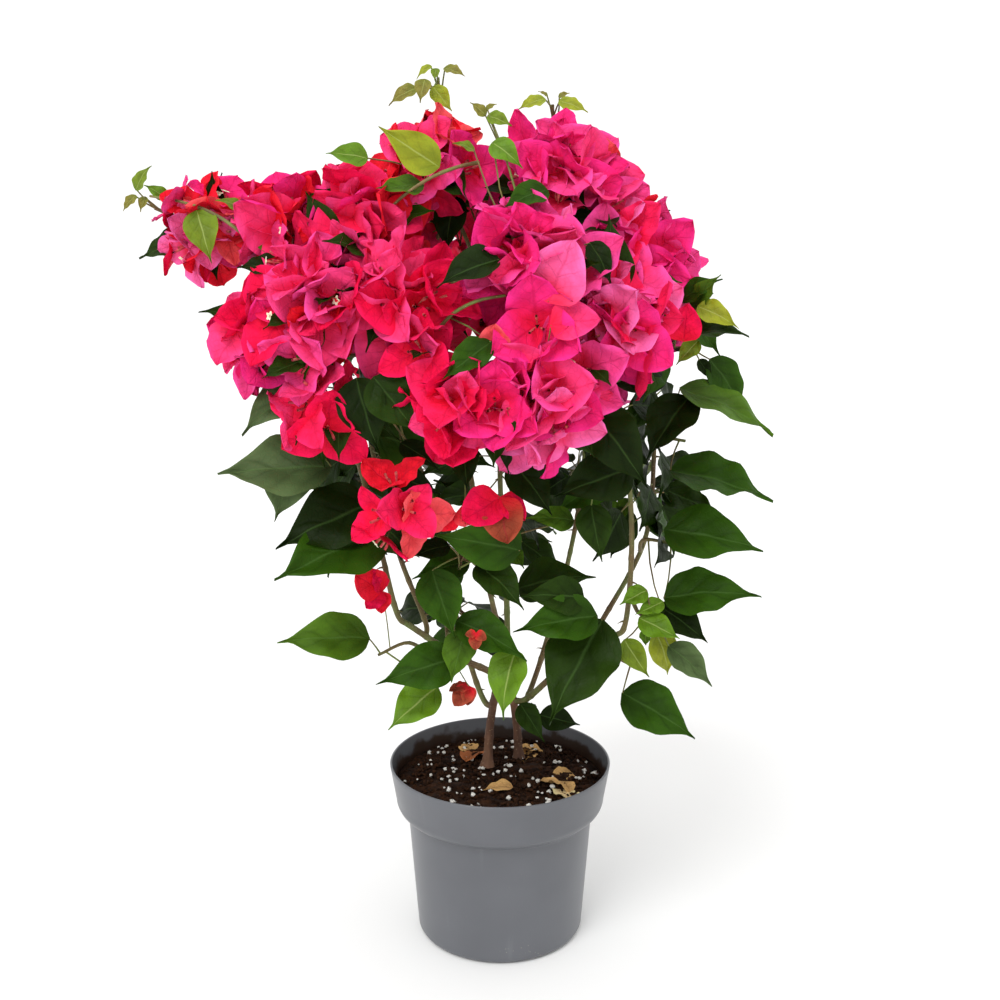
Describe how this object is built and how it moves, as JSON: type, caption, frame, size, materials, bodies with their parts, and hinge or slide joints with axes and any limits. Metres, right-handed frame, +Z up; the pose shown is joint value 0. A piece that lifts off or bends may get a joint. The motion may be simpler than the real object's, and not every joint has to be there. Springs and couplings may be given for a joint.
{
  "type": "potted bougainvillea bush",
  "caption": "Bougainvillea bush in a grey nursery pot: thin woody stems fork into arching boughs with dark green leaves below and dense clusters of pink papery bracts above.",
  "frame": {"origin": "centre of the flat underside of the pot", "axes": "+Z up along the pot's axis, -Y towards the side that carries the most bracts, +X to the right seen from there; the long side branch reaches to -X"},
  "size_m": [0.4501, 0.3562, 0.6482],
  "materials": {
    "pot_plastic": "slate grey polypropylene, satin outside",
    "potting_mix": "moist peat and bark with white perlite",
    "bark": "thin brown bark, matt",
    "green_bark": "green-brown young bark, matt",
    "leaves": "dark green leaf, faint sheen",
    "young_leaves": "yellow-green young leaf",
    "bracts": "papery pink bract, matt"
  },
  "bodies": {
    "root": {"bloom_arm": "bracts", "bloom_centre_high": "bracts", "bloom_centre_left": "bracts", "bloom_centre_low": "bracts", "bloom_hanging": "bracts", "bloom_left_hanging": "bracts", "bloom_left_low": "bracts", "bloom_left_middle": "bracts", "bloom_left_top": "bracts", "bloom_left_upper": "bracts", "bloom_middle": "bracts", "bloom_rear_left": "bracts", "bloom_rear_low_left": "bracts", "bloom_rear_low_right": "bracts", "bloom_rear_middle": "bracts", "bloom_rear_right": "bracts", "bloom_rear_top_left": "bracts", "bloom_rear_top_right": "bracts", "bloom_right": "bracts", "bloom_right_upper": "bracts", "bloom_top_left": "bracts", "bloom_top_right": "bracts", "bough_arm": "green_bark", "bough_centre_back": "green_bark", "bough_centre_front": "green_bark", "bough_left_back": "green_bark", "bough_left_front": "green_bark", "bough_left_low": "green_bark", "bough_rear_left": "green_bark", "bough_rear_right": "green_bark", "bough_right_back": "green_bark", "bough_right_front": "green_bark", "bough_right_low": "green_bark", "leaves_foot": "leaves", "leaves_front_low": "leaves", "leaves_front_middle": "leaves", "leaves_front_right": "leaves", "leaves_left_flank": "leaves", "leaves_left_foot": "leaves", "leaves_left_high": "leaves", "leaves_left_low": "leaves", "leaves_mid_dark": "leaves", "leaves_rear_left": "leaves", "leaves_rear_low": "leaves", "leaves_rear_middle": "leaves", "leaves_rear_right": "leaves", "leaves_right_flank": "leaves", "leaves_right_foot": "leaves", "leaves_right_fresh": "young_leaves", "leaves_right_high": "leaves", "leaves_right_middle": "leaves", "leaves_right_tip": "leaves", "leaves_under_bloom": "leaves", "pot": "pot_plastic", "potting_mix": "potting_mix", "shoot_arm": "young_leaves", "shoot_top_left": "young_leaves", "shoot_top_right": "young_leaves", "stem_left": "bark", "stem_right": "bark"}
  },
  "joints": []
}
